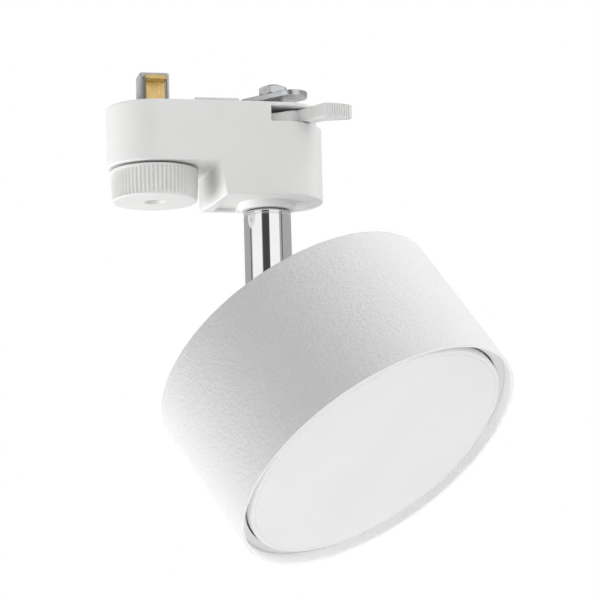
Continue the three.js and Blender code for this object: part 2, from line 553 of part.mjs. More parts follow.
function lampholder() {
  let holder = cut(
    rod(HOLDER_RADIUS, HOLDER_FRONT_Z, HOLDER_TOP_Z, { segments: 48 }),
    rod(9, HOLDER_FRONT_Z - 1, HOLDER_TOP_Z + 1),
  );
  for (const side of [-1, 1]) {
    const place = { x: side * HOLDER_SCREW_SPAN, segments: 16 };
    holder = join(holder, rod(4, HOLDER_TOP_Z - 1, INSIDE_Z - CLEARANCE, place));
    holder = cut(holder, rod(1.6, HOLDER_TOP_Z - 3, INSIDE_Z + 1, place));
    const middle = side > 0 ? 90 : 270;
    const turn = LAMP_TWIST + 2;
    const narrow = ringSector(PIN_CIRCLE - 2.1, PIN_CIRCLE + 2.1, middle - 5, middle + turn);
    const wide = ringSector(PIN_CIRCLE - 3.1, PIN_CIRCLE + 3.1, middle - 7, middle + turn + 6);
    const slotOptions = { curveSegments: 5 };
    const entry = middle + LAMP_TWIST;
    const entryX = PIN_CIRCLE * Math.cos(entry * DEGREE);
    const entryY = PIN_CIRCLE * Math.sin(entry * DEGREE);
    holder = cut(
      holder,
      prism(narrow, HOLDER_FRONT_Z - 1, HOLDER_FRONT_Z + 3, slotOptions),
      prism(wide, HOLDER_FRONT_Z + 1.8, HOLDER_FRONT_Z + 6.4, slotOptions),
      rod(3.1, HOLDER_FRONT_Z - 1, HOLDER_FRONT_Z + 3, { x: entryX, y: entryY, segments: 20 }),
    );
  }
  return holder;
}
piece(head, "lampholder", lampholder(), greyPlastic());

for (const [name, side, insulation] of [["live", -1, brownWire()], ["neutral", 1, blueWire()]]) {
  const route = [
    [side * 0.8, GROMMET_Y, REAR_Z + 0.6], [side * 0.8, GROMMET_Y, INSIDE_Z - 0.6],
    [side * 2.2, GROMMET_Y + 0.4, INSIDE_Z - 2], [side * 6, GROMMET_Y + 3, INSIDE_Z - 2.2],
    [side * 9.5, GROMMET_Y + 5.2, INSIDE_Z - 2.4], [side * 11, GROMMET_Y + 6.2, HOLDER_TOP_Z + 1],
  ];
  piece(head, `head_wire_${name}`, wire(route), insulation);
}

// ---- GX53 lamp -------------------------------------------------------------------------------------------
const LAMP_STEP_Z = LAMP_BACK_Z - 7.5;
const BODY_RIM_Z = LAMP_FACE_Z + 3.2;
const lampBody = turned([
  [0, LAMP_BACK_Z], [30.6, LAMP_BACK_Z], [31.4, LAMP_BACK_Z - 0.8], [31.4, LAMP_STEP_Z + 1],
  [36.2, LAMP_STEP_Z], [36.9, LAMP_STEP_Z - 0.8], [36.9, BODY_RIM_Z],
  [35.2, BODY_RIM_Z], [35.2, LAMP_STEP_Z - 2.2], [29.8, LAMP_STEP_Z - 2.2], [29.8, LAMP_BACK_Z - 1.6],
  [0, LAMP_BACK_Z - 1.6],
], 40);
piece(head, "lamp_body", lampBody, whitePlastic());

const lampDiffuser = turned([
  [0, LAMP_FACE_Z], [LAMP_RADIUS - 1.1, LAMP_FACE_Z], [LAMP_RADIUS - 0.35, LAMP_FACE_Z + 0.35],
  [LAMP_RADIUS, LAMP_FACE_Z + 1.1], [LAMP_RADIUS, BODY_RIM_Z - CLEARANCE],
  [LAMP_RADIUS - 1.5, BODY_RIM_Z - CLEARANCE],
  [LAMP_RADIUS - 1.5, LAMP_FACE_Z + 1.5], [0, LAMP_FACE_Z + 1.5],
], 48);
piece(head, "lamp_diffuser", lampDiffuser, opal());

const pinProfile = [
  [0, 0.1], [1.7, 0.1], [1.7, 2.8], [2.5, 3.2], [2.5, 4.8], [1.9, 5.3], [0, 5.3],
];
const lampPin = turned(pinProfile, 16);
piece(head, "lamp_pin_front", lampPin, brass(), { y: -PIN_CIRCLE, z: LAMP_BACK_Z });
piece(head, "lamp_pin_back", lampPin, brass(), { y: PIN_CIRCLE, z: LAMP_BACK_Z });

const LED_COUNT = 12;
const LED_CIRCLE = 22;
const BOARD_Z = LAMP_STEP_Z - 2.2 - CLEARANCE - 1.2;
let ledBoard = rod(34.4, BOARD_Z, BOARD_Z + 1.2, { segments: 48 });
for (let led = 0; led < LED_COUNT; led += 1) {
  const angle = (led * 2 * Math.PI) / LED_COUNT;
  const chip = box([-1.5, 1.5], [-1.5, 1.5], [BOARD_Z - 0.8, BOARD_Z + 0.5]);
  ledBoard = join(ledBoard, chip.translate([LED_CIRCLE * Math.cos(angle), LED_CIRCLE * Math.sin(angle), 0]));
}
piece(head, "led_board", ledBoard, board());

const driverTop = LAMP_BACK_Z - 1.6 - CLEARANCE;
const lampDriver = join(
  box([-15, 15], [-10, 10], [driverTop - 1.4, driverTop]),
  box([-12, -3], [-7, 2], [driverTop - 6, driverTop - 1]),
  rod(4, driverTop - 6.4, driverTop - 1, { x: 6, y: 0, segments: 16 }),
);
piece(head, "lamp_driver", lampDriver, greyPlastic());

export default spotlight;
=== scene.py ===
"""Track spotlight in white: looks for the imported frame, in Blender 4.5.

Shapes are written in millimetres, in the frames that the parts are designed in, and every mesh is
moved into the shared frame and scaled to metres as it is made.
"""

import math

import bmesh
import bpy
from mathutils import Matrix, Vector


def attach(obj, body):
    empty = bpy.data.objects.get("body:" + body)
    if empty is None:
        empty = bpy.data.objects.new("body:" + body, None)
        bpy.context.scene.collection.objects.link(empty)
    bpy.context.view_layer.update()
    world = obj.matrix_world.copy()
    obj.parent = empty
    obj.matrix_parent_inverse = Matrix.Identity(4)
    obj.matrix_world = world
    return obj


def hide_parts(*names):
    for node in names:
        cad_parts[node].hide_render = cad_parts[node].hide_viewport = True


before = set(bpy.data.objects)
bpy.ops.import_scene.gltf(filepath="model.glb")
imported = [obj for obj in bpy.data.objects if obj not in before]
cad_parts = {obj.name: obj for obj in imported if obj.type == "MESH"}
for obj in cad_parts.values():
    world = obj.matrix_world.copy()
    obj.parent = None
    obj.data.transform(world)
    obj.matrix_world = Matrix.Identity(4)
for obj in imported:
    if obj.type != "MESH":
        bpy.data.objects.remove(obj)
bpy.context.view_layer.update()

# ---- Dimensions, in millimetres and degrees ---------------------------------------------------------
MM = 0.001
END_X = 16.4
ADAPTER_RADIUS = 12.5
UPPER_HEIGHT = 16.3
TOTAL_HEIGHT = 25.2
WALL = 1.8
BLOCK_WALL_HOLLOW = 0.3
# The block's wall beside the knob: its x at the front (-Y) and back of the adapter
WALL_TOP_FRONT, WALL_TOP_BACK = -0.85, -2.3
WALL_BOTTOM_FRONT, WALL_BOTTOM_BACK = 0.55, -2.1
HOUSING_EDGE = 0.45
SLOT_EDGE = 0.22
SLOT_TOP, SLOT_BOTTOM = -1.05, -5.2
SLOT_START, SLOT_END = -105.6, 12
POST_X, POST_Y = -1.5, 8.4
POST_RADIUS = 2.6
GUIDE_RIB_Y = 4.6
CLEARANCE = 0.3
COVER_THICKNESS = 1.8

KNOB_RADIUS = 11.6
KNOB_TOP = -16.9
KNOB_RIBS = 64
KNOB_RIB_DEPTH = 0.5
KNOB_BAND = 0.65
DIMPLE_RADIUS, DIMPLE_DEPTH = 2.7, 1.6
SHAFT_RADIUS = 5.2
SHAFT_TOP = 9.4
BLADE_FACE = 3.2

LEVER_ANGLE = -52
LEVER_DISC_RADIUS = 10.3
LEVER_DISC_TOP, LEVER_DISC_BOTTOM = -2.6, -4.9
FINGER_TOP = -1.35
GRIP_BOTTOM = -5.3
GRIP_NEAR_CORNER = Vector((20.6, -3.8))
GRIP_FAR_CORNER = Vector((24.15, 4.4))
GRIP_BULGE = 0.45
GRIP_GROOVES = 10
GROOVE_RADIUS = 0.24
GROOVE_PITCH = 0.69
FIRST_GROOVE = 0.6
RAMP_START, RAMP_END = -58.0, -8.0
RAMP_LOW, RAMP_HIGH = -2.75, -1.55
LEVER_SHAFT_RADIUS = 2.6

STEM_X = 13.9
STEM_RADIUS = 6.3
STEM_BORE = 5.1
STEM_HEADING = -48.6
RING_RADIUS = 7.75
RING_HEIGHT = 1.9
NIPPLE_RADIUS = 4.8
RING_GAP = 0.45
STEM_TOP = -TOTAL_HEIGHT - RING_HEIGHT - RING_GAP
HINGE_Z = -52.6
STEM_END = HINGE_Z - 4.8
PIN_HOLE = 1.75
FORK_SLOT = 3.5
FORK_TOP = HINGE_Z + 6.5

TILT = 37.6
DRUM_RADIUS = 41.0
DRUM_LENGTH = 41.5
DRUM_WALL = 0.8
DRUM_BORE = DRUM_RADIUS - DRUM_WALL
BACK_THICKNESS = 1.6
REAR_Z = -13.7
FRONT_Z = REAR_Z - DRUM_LENGTH
INSIDE_Z = REAR_Z - BACK_THICKNESS
SCREW_SPAN = 9.5
HOLDER_SCREW_SPAN = 22
GROMMET_Y = 10.6

LAMP_RADIUS = 37.5
LAMP_FACE_Z = FRONT_Z + 1.3
LAMP_BACK_Z = LAMP_FACE_Z + 24.6
LAMP_STEP_Z = LAMP_BACK_Z - 7.5
BODY_RIM_Z = LAMP_FACE_Z + 3.2

# Screws: the head's radius and height, the shank's radius and length
COVER_SCREW = (2.1, 0.8, 1.1, 8.0)
TILT_SCREW = (2.9, 1.7, 1.5, 16.2)
BRACKET_SCREW = (2.6, 1.7, 1.4, 8.2)
HOLDER_SCREW = (2.6, 1.7, 1.4, 7.4)
# Nuts: width across flats, height, and the hole's radius
TAB_NUT = (7, 2.4, 2.0)
TILT_NUT = (5.5, 2.4, 1.6)
BRACKET_NUT = (5.5, 2.2, 1.5)


# ---- Frames -----------------------------------------------------------------------------------------
def turn(degrees, axis):
    return Matrix.Rotation(math.radians(degrees), 4, axis)


def shift(x=0.0, y=0.0, z=0.0):
    return Matrix.Translation((x, y, z))


def facing(azimuth, elevation):
    """The direction at an azimuth from -Y towards +X, and an elevation."""
    azimuth, elevation = math.radians(azimuth), math.radians(elevation)
    return Vector((
        math.sin(azimuth) * math.cos(elevation),
        -math.cos(azimuth) * math.cos(elevation),
        math.sin(elevation),
    ))


ADAPTER = Matrix.Identity(4)
KNOB = shift(-END_X)
LEVER = shift(END_X) @ turn(LEVER_ANGLE, "Z")
STEM = shift(STEM_X) @ turn(STEM_HEADING, "Z")
HEAD = STEM @ shift(z=HINGE_Z) @ turn(-TILT, "Y")

# ---- Camera: below the object's middle, a little to the left of square on ----------------------------
VIEW_AZIMUTH, VIEW_ELEVATION, VIEW_ROLL = -13.0, -10.0, -1.6
VIEW_DISTANCE = 0.808
VIEW_TARGET = Vector((0.0222, 0.0, -0.0510))
SENSOR_WIDTH, FOCAL_LENGTH = 36.0, 182.5


def add_camera():
    back = facing(VIEW_AZIMUTH, VIEW_ELEVATION)
    right = (-back).cross(Vector((0, 0, 1))).normalized()
    up = right.cross(-back)
    level = Matrix((right, up, back)).transposed().to_4x4()
    data = bpy.data.cameras.new("camera")
    data.sensor_width = SENSOR_WIDTH
    data.lens = FOCAL_LENGTH
    data.clip_start, data.clip_end = 0.01, 20.0
    camera = bpy.data.objects.new("camera", data)
    place = Matrix.Translation(VIEW_TARGET + back * VIEW_DISTANCE)
    camera.matrix_world = place @ level @ turn(VIEW_ROLL, "Z")
    bpy.context.scene.collection.objects.link(camera)
    bpy.context.scene.camera = camera


add_camera()


# ---- Materials --------------------------------------------------------------------------------------
NOISE_LOW, NOISE_HIGH = 0.3, 0.7


def material(name, **values):
    """A new Principled material, with values set on the shader's own sockets."""
    made = bpy.data.materials.new(name)
    made.use_nodes = True
    shader = made.node_tree.nodes["Principled BSDF"]
    for socket, value in values.items():
        shader.inputs[socket.replace("_", " ")].default_value = value
    return made, made.node_tree, shader


def noise(tree, scale, detail=2.0, roughness=0.5, stretch=(1.0, 1.0, 1.0)):
    """Noise over the piece, with scale in features per metre."""
    place = tree.nodes.new("ShaderNodeTexCoord")
    mapping = tree.nodes.new("ShaderNodeMapping")
    mapping.inputs["Scale"].default_value = stretch
    texture = tree.nodes.new("ShaderNodeTexNoise")
    texture.inputs["Scale"].default_value = scale
    texture.inputs["Detail"].default_value = detail
    texture.inputs["Roughness"].default_value = roughness
    tree.links.new(place.outputs["Object"], mapping.inputs["Vector"])
    tree.links.new(mapping.outputs["Vector"], texture.inputs["Vector"])
    return texture.outputs["Fac"]


def spread(tree, source, low, high):
    """The noise's middle range mapped to a range of values."""
    node = tree.nodes.new("ShaderNodeMapRange")
    node.inputs["From Min"].default_value = NOISE_LOW
    node.inputs["From Max"].default_value = NOISE_HIGH
    node.inputs["To Min"].default_value = low
    node.inputs["To Max"].default_value = high
    tree.links.new(source, node.inputs["Value"])
    return node.outputs["Result"]


def tint(tree, source, dark, light):
    """Two colours blended by the noise's middle range."""
    ramp = tree.nodes.new("ShaderNodeValToRGB")
    ramp.color_ramp.elements[0].position = NOISE_LOW
    ramp.color_ramp.elements[0].color = (*dark, 1.0)
    ramp.color_ramp.elements[1].position = NOISE_HIGH
    ramp.color_ramp.elements[1].color = (*light, 1.0)
    tree.links.new(source, ramp.inputs["Fac"])
    return ramp.outputs["Color"]


def bump(tree, shader, source, height_mm, before=None):
    """Surface relief of the given height, on top of any earlier relief."""
    node = tree.nodes.new("ShaderNodeBump")
    node.inputs["Distance"].default_value = height_mm * MM
    tree.links.new(source, node.inputs["Height"])
    if before is not None:
        tree.links.new(before, node.inputs["Normal"])
    tree.links.new(node.outputs["Normal"], shader.inputs["Normal"])
    return node.outputs["Normal"]


def moulded(name, dark, light, roughness, grain=0.004):
    """Injection-moulded plastic: an even colour with faint clouds, and a very fine satin grain."""
    made, tree, shader = material(name, Specular_IOR_Level=0.5)
    clouds = noise(tree, 90.0, 3.0)
    tree.links.new(tint(tree, clouds, dark, light), shader.inputs["Base Color"])
    patches = noise(tree, 240.0, 3.0)
    tree.links.new(spread(tree, patches, roughness - 0.05, roughness + 0.05), shader.inputs["Roughness"])
    bump(tree, shader, noise(tree, 5200.0, 2.0), grain)
    return made


def powder_coat():
    """Matt white powder coat: orange peel under a fine grain, which also varies the tone."""
    made, tree, shader = material("powder_coat", Specular_IOR_Level=0.45)
    grain = noise(tree, 1500.0, 3.0, 0.6)
    tree.links.new(tint(tree, grain, (0.78, 0.78, 0.778), (0.84, 0.84, 0.84)), shader.inputs["Base Color"])
    patches = noise(tree, 700.0, 3.0)
    tree.links.new(spread(tree, patches, 0.52, 0.66), shader.inputs["Roughness"])
    peel = bump(tree, shader, noise(tree, 800.0, 2.0), 0.14)
    bump(tree, shader, grain, 0.20, peel)
    return made


def opal():
    """Frosted lamp diffuser, not lit."""
    made, tree, shader = material(
        "opal_diffuser", Subsurface_Weight=0.25, Subsurface_Radius=(1.0, 1.0, 1.0), Subsurface_Scale=0.002,
    )
    clouds = noise(tree, 40.0, 2.0)
    tree.links.new(tint(tree, clouds, (0.795, 0.795, 0.795), (0.82, 0.82, 0.82)), shader.inputs["Base Color"])
    tree.links.new(spread(tree, noise(tree, 400.0, 3.0), 0.34, 0.44), shader.inputs["Roughness"])
    bump(tree, shader, noise(tree, 3800.0, 2.0), 0.003)
    return made


def chrome():
    """Polished chrome plate with faint wiping marks along the tube."""
    made, tree, shader = material("chrome_plate", Metallic=1.0)
    haze = noise(tree, 120.0, 3.0)
    tree.links.new(tint(tree, haze, (0.80, 0.805, 0.81), (0.84, 0.845, 0.85)), shader.inputs["Base Color"])
    wiping = noise(tree, 1500.0, 3.0, 0.6, (1.0, 1.0, 0.06))
    tree.links.new(spread(tree, wiping, 0.035, 0.075), shader.inputs["Roughness"])
    return made


def metal(name, dark, light, roughness, streaks=(1.0, 1.0, 1.0)):
    """Plated metal with a fine uneven finish."""
    made, tree, shader = material(name, Metallic=1.0)
    tree.links.new(tint(tree, noise(tree, 500.0, 4.0), dark, light), shader.inputs["Base Color"])
    wear = noise(tree, 1800.0, 4.0, 0.6, streaks)
    tree.links.new(spread(tree, wear, roughness - 0.08, roughness + 0.1), shader.inputs["Roughness"])
    bump(tree, shader, wear, 0.006)
    return made


def printed_board():
    """White solder mask with a faint weave showing through."""
    made, tree, shader = material("printed_board", Specular_IOR_Level=0.5)
    weave = noise(tree, 1500.0, 1.0, 0.5, (1.0, 0.2, 1.0))
    tree.links.new(tint(tree, weave, (0.70, 0.71, 0.69), (0.78, 0.79, 0.77)), shader.inputs["Base Color"])
    tree.links.new(spread(tree, weave, 0.35, 0.5), shader.inputs["Roughness"])
    return made


LOOKS = {
    "adapter_white": moulded("adapter_plastic", (0.765, 0.760, 0.752), (0.790, 0.786, 0.780), 0.42),
    "inner_grey": moulded("grey_plastic", (0.52, 0.52, 0.51), (0.58, 0.58, 0.57), 0.5, 0.006),
    "drum_powder_coat": powder_coat(),
    "lamp_white": moulded("lamp_plastic", (0.78, 0.78, 0.77), (0.82, 0.82, 0.81), 0.4),
    "lamp_opal": opal(),
    "stem_chrome": chrome(),
    "zinc_steel": metal("zinc_plate", (0.52, 0.53, 0.55), (0.66, 0.67, 0.68), 0.32),
    "contact_brass": metal("brass", (0.62, 0.44, 0.17), (0.76, 0.56, 0.25), 0.3, (1.0, 1.0, 0.1)),
    "circuit_board": printed_board(),
    "wire_brown": moulded("brown_insulation", (0.085, 0.035, 0.018), (0.12, 0.05, 0.026), 0.45, 0.01),
    "wire_blue": moulded("blue_insulation", (0.02, 0.09, 0.30), (0.03, 0.12, 0.38), 0.45, 0.01),
    "grommet_rubber": moulded("grommet_rubber", (0.60, 0.60, 0.58), (0.66, 0.66, 0.64), 0.75, 0.02),
}


# ---- Outlines and profiles --------------------------------------------------------------------------
def eased(points, steps=5):
    """A closed outline with its corners rounded: each point is (x, y) or (x, y, radius)."""
    made = []
    for index, point in enumerate(points):
        corner = Vector(point[:2])
        radius = point[2] if len(point) > 2 else 0.0
        before = Vector(points[index - 1][:2]) - corner
        after = Vector(points[(index + 1) % len(points)][:2]) - corner
        if radius <= 0.0:
            made.append(tuple(corner))
            continue
        half = before.angle(after) / 2
        reach = min(radius / math.tan(half), 0.49 * before.length, 0.49 * after.length)
        radius = reach * math.tan(half)
        centre = corner + (before.normalized() + after.normalized()).normalized() * radius / math.sin(half)
        first = corner + before.normalized() * reach - centre
        last = corner + after.normalized() * reach - centre
        sweep = first.angle_signed(last)
        for step in range(steps + 1):
            angle = -sweep * step / steps
            turned_by = Vector((
                first.x * math.cos(angle) - first.y * math.sin(angle),
                first.x * math.sin(angle) + first.y * math.cos(angle),
            ))
            made.append(tuple(centre + turned_by))
    return made


def arc(x, y, radius, start, end, steps):
    angles = [math.radians(start + (end - start) * step / steps) for step in range(steps + 1)]
    return [(x + radius * math.cos(a), y + radius * math.sin(a)) for a in angles]


def stadium(inset=0.0, steps=64):
    radius = ADAPTER_RADIUS - inset
    return arc(END_X, 0, radius, -90, 90, steps) + arc(-END_X, 0, radius, 90, 270, steps)


def pill(length, width, steps=24):
    """An outline with round ends, along X."""
    middle = (length - width) / 2
    return arc(middle, 0, width / 2, -90, 90, steps) + arc(-middle, 0, width / 2, 90, 270, steps)


def ring_sector(x, inner, outer, start, end, steps=48):
    return arc(x, 0, outer, start, end, steps) + arc(x, 0, inner, end, start, steps)


def hexagon(across_flats, ease):
    corner = across_flats / math.sqrt(3)
    return eased([
        (corner * math.cos(math.radians(60 * side)), corner * math.sin(math.radians(60 * side)), ease)
        for side in range(6)
    ], 3)


def rectangle(x0, x1, y0, y1, ease=0.0, steps=4):
    return eased([(x0, y0, ease), (x1, y0, ease), (x1, y1, ease), (x0, y1, ease)], steps)


def inset_outline(outline, distance):
    """The outline moved inwards by distance, for an outline that runs anticlockwise."""
    made = []
    count = len(outline)
    for index in range(count):
        before = Vector(outline[index]) - Vector(outline[index - 1])
        after = Vector(outline[(index + 1) % count]) - Vector(outline[index])
        if before.length < 1e-9:
            before = after
        if after.length < 1e-9:
            after = before
        inward = [Vector((-edge.y, edge.x)).normalized() for edge in (before, after)]
        middle = (inward[0] + inward[1]).normalized()
        made.append(tuple(Vector(outline[index]) + middle * distance / max(0.4, middle.dot(inward[0]))))
    return made


# ---- Solids, as bmeshes ------------------------------------------------------------------------------
def rings_to_solid(rings, capped):
    """Quads between rings of equal length, where a ring of one point is a pole."""
    bm = bmesh.new()
    made = [[bm.verts.new(point) for point in ring] for ring in rings]
    pairs = list(zip(made, made[1:]))
    if not capped:
        pairs.append((made[-1], made[0]))
    for low, high in pairs:
        count = max(len(low), len(high))
        if count == 1:
            continue
        for index in range(count):
            following = (index + 1) % count
            corners = [
                low[index % len(low)], low[following % len(low)],
                high[following % len(high)], high[index % len(high)],
            ]
            corners = list(dict.fromkeys(corners))
            if len(corners) > 2:
                bm.faces.new(corners)
    if capped:
        for ring in (made[0], made[-1]):
            if len(ring) > 2:
                bm.faces.new(ring)
    bmesh.ops.recalc_face_normals(bm, faces=bm.faces)
    return bm


def turned(profile, segments=96):
    """A closed (radius, z) profile turned about Z."""
    rings = []
    for radius, z in profile:
        if radius < 1e-6:
            rings.append([(0.0, 0.0, z)])
            continue
        angles = [2 * math.pi * step / segments for step in range(segments)]
        rings.append([(radius * math.cos(a), radius * math.sin(a), z) for a in angles])
    return rings_to_solid(rings, capped=False)


def slab(outline, low, high, ease_low=0.0, ease_high=0.0, steps=4):
    """An outline raised from low to high, with its two rims rounded."""
    rings = []
    for ease, z, direction in ((ease_low, low, 1), (ease_high, high, -1)):
        made = []
        for step in range(steps + 1 if ease > 0 else 1):
            angle = math.pi / 2 * step / steps
            inset = ease * (1 - math.sin(angle))
            rise = ease * (1 - math.cos(angle))
            made.append([(x, y, z + direction * rise) for x, y in inset_outline(outline, inset)])
        rings += made if direction > 0 else made[::-1]
    return rings_to_solid(rings, capped=True)


def rod(radius, low, high, x=0.0, y=0.0, segments=48):
    return slab(arc(x, y, radius, 0, 360, segments)[:-1], low, high)


def moved(bm, matrix):
    bm.transform(matrix)
    return bm


def mesh_from(bm, name):
    mesh = bpy.data.meshes.new(name)
    bm.to_mesh(mesh)
    bm.free()
    return mesh


def boolean(base, tools, operation):
    """The base joined with or cut by each tool, with the exact solver."""
    for tool in tools:
        shapes = [bpy.data.objects.new("work", mesh_from(bm, "work")) for bm in (base, tool)]
        for shape in shapes:
            bpy.context.scene.collection.objects.link(shape)
        modifier = shapes[0].modifiers.new("boolean", "BOOLEAN")
        modifier.operation = operation
        modifier.solver = "EXACT"
        modifier.object = shapes[1]
        bpy.context.view_layer.update()
        evaluated = shapes[0].evaluated_get(bpy.context.evaluated_depsgraph_get())
        base = bmesh.new()
        base.from_mesh(evaluated.to_mesh())
        evaluated.to_mesh_clear()
        for shape in shapes:
            mesh = shape.data
            bpy.data.objects.remove(shape)
            bpy.data.meshes.remove(mesh)
        bmesh.ops.remove_doubles(base, verts=base.verts, dist=1e-4)
        bmesh.ops.dissolve_degenerate(base, edges=base.edges, dist=1e-4)
    return base


def cut(base, *tools):
    return boolean(base, tools, "DIFFERENCE")


def join(base, *tools):
    return boolean(base, tools, "UNION")


def round_edges(bm, radius, chosen, segments, sharp=40.0):
    """Rounds the sharp edges that chosen(edge) picks."""
    limit = math.radians(sharp)
    edges = [
        edge for edge in bm.edges
        if len(edge.link_faces) == 2 and edge.calc_face_angle(0.0) > limit and chosen(edge)
    ]
    bmesh.ops.bevel(
        bm, geom=edges, offset=radius, segments=segments, profile=0.5, affect="EDGES", clamp_overlap=False
    )
    bmesh.ops.remove_doubles(bm, verts=bm.verts, dist=1e-3)
    return bm


def piece(name, bm, slot, body, place, replaces, sharp=38.0):
    """Turns a solid into a finished object of the model."""
    bmesh.ops.recalc_face_normals(bm, faces=bm.faces)
    bm.transform(Matrix.Scale(MM, 4) @ place)
    mesh = mesh_from(bm, name)
    mesh.polygons.foreach_set("use_smooth", [True] * len(mesh.polygons))
    mesh.set_sharp_from_angle(angle=math.radians(sharp))
    mesh.materials.append(LOOKS[slot])
    made = bpy.data.objects.new(name, mesh)
    bpy.context.scene.collection.objects.link(made)
    even = made.modifiers.new("even_shading", "WEIGHTED_NORMAL")
    even.weight = 100
    even.keep_sharp = True
    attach(made, body)
    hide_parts(*replaces)


# ---- Fasteners --------------------------------------------------------------------------------------
def pan_screw(head, head_height, shank, length, pitch=0.5):
    """A pan-head screw with a cross recess: the head's underside is at z = 0 and the shank runs down."""
    crest = [
        (head, 0.0, 0.12), (head, head_height * 0.45, 0.25), (head * 0.78, head_height * 0.9, 0.5),
        (0.0, head_height),
    ]
    thread = []
    z = -length + 0.8
    while z < -0.6:
        thread += [(shank, z), (shank, z + 0.12), (shank * 0.86, z + pitch * 0.55)]
        z += pitch
    profile = [(0.0, -length), (shank * 0.5, -length), *thread, (shank, -0.4), (shank, 0.0)]
    body = turned(profile + eased([(shank, 0.0), *crest])[1:], 40)
    reach, half_width = head * 0.55, head * 0.11
    for quarter in (0, 90):
        groove = moved(rings_to_solid([
            [(-reach * s, -half_width * s, z), (reach * s, -half_width * s, z),
             (reach * s, half_width * s, z), (-reach * s, half_width * s, z)]
            for s, z in ((0.55, head_height * 0.25), (1.0, head_height + 0.3))
        ], capped=True), turn(quarter + 20, "Z"))
        body = cut(body, groove)
    return body


def hex_nut(across_flats, height, hole):
    """A nut with chamfered corners and a chamfered bore."""
    body = slab(hexagon(across_flats, 0.15), 0.0, height)
    corner = across_flats / math.sqrt(3)
    face, rim = across_flats * 0.47, corner + 0.1
    chamfer = (rim - face) * 0.58
    envelope = turned([
        (0.0, 0.0), (face, 0.0), (rim, chamfer), (rim, height - chamfer), (face, height), (0.0, height),
    ], 64)
    body = boolean(body, [envelope], "INTERSECT")
    bore = turned([
        (0.0, -1.0), (hole + 1.25, -1.0), (hole, 0.25), (hole, height - 0.25), (hole + 1.25, height + 1.0),
        (0.0, height + 1.0),
    ], 40)
    return cut(body, bore)


def steel_part(name, bm, body, place, replaced):
    """A zinc-plated piece that stands in for one CAD node."""
    piece(name, bm, "zinc_steel", body, place, [replaced])


# ---- Adapter ----------------------------------------------------------------------------------------
def beside_block(offset, low, high, steps=24):
    """The space on the knob's side of the block: its right side is the block's dished, drafted wall."""
    rings = []
    for z in (low, high):
        drop = (-z - UPPER_HEIGHT) / (TOTAL_HEIGHT - UPPER_HEIGHT)
        front = WALL_TOP_FRONT + (WALL_BOTTOM_FRONT - WALL_TOP_FRONT) * drop
        back = WALL_TOP_BACK + (WALL_BOTTOM_BACK - WALL_TOP_BACK) * drop
        wall = []
        for step in range(steps + 1):
            y = -15.0 + 30.0 * step / steps
            wall_x = (front + back) / 2 + (back - front) / 2 * y / ADAPTER_RADIUS
            dish = BLOCK_WALL_HOLLOW * (1 - (y / ADAPTER_RADIUS) ** 2)
            wall.append((wall_x + dish + offset, y, z))
        rings.append([(-40.0, -15.0, z), *wall, (-40.0, 15.0, z)])
    return rings_to_solid(rings, capped=True)


def housing():
    outside = slab(stadium(), -TOTAL_HEIGHT, 0.0)
    outside = cut(outside, beside_block(0.0, -TOTAL_HEIGHT - 2, -UPPER_HEIGHT))
    outside = round_edges(outside, HOUSING_EDGE, lambda edge: True, 4)
    floor_z = -UPPER_HEIGHT + WALL
    block_floor_z = -TOTAL_HEIGHT + WALL
    block_cavity = cut(
        slab(stadium(WALL), block_floor_z, 0.5),
        beside_block(WALL, -TOTAL_HEIGHT - 2, 2.0),
    )
    shell = cut(outside, slab(stadium(WALL), floor_z, 1.0), block_cavity)
    shell = cut(shell, slab(ring_sector(END_X, 8.0, 20.0, SLOT_START, SLOT_END), SLOT_BOTTOM, SLOT_TOP))

    def on_slot_rim(edge):
        for vertex in edge.verts:
            x, y, z = vertex.co
            outward = math.hypot(x - END_X, y) if x > END_X else abs(y)
            if not (SLOT_BOTTOM - 0.02 < z < SLOT_TOP + 0.02 and abs(outward - ADAPTER_RADIUS) < 0.03):
                return False
        return True

    shell = round_edges(shell, SLOT_EDGE, on_slot_rim, 3, 50.0)
    pocket = slab(rectangle(1.5, 7.5, 0.8, 10.4, 0.3), -TOTAL_HEIGHT - 1, -TOTAL_HEIGHT + 0.9)
    step_outline = [(21.7, -0.9), *arc(END_X, 0, ADAPTER_RADIUS - 2.0, -5, 62, 16), (19.0, 9.4)]
    side_step = slab(step_outline, -TOTAL_HEIGHT - 1, -TOTAL_HEIGHT + 0.25)
    gate_mark = rod(0.32, -TOTAL_HEIGHT - 1, -TOTAL_HEIGHT + 0.4, 21.3, -4.4, 16)
    shell = cut(
        shell,
        rod(SHAFT_RADIUS + CLEARANCE, -UPPER_HEIGHT - 1, 0.0, -END_X),
        rod(NIPPLE_RADIUS + CLEARANCE, -TOTAL_HEIGHT - 1, block_floor_z + 1, STEM_X),
        pocket, side_step, gate_mark,
    )
    for side in (-1, 1):
        shell = join(shell, rod(POST_RADIUS, floor_z - 0.5, -COVER_THICKNESS, POST_X, side * POST_Y))
        shell = cut(shell, rod(1.25, -11, 0, POST_X, side * POST_Y))
    return shell


piece("housing", housing(), "adapter_white", "adapter", ADAPTER, ["adapter_housing"])


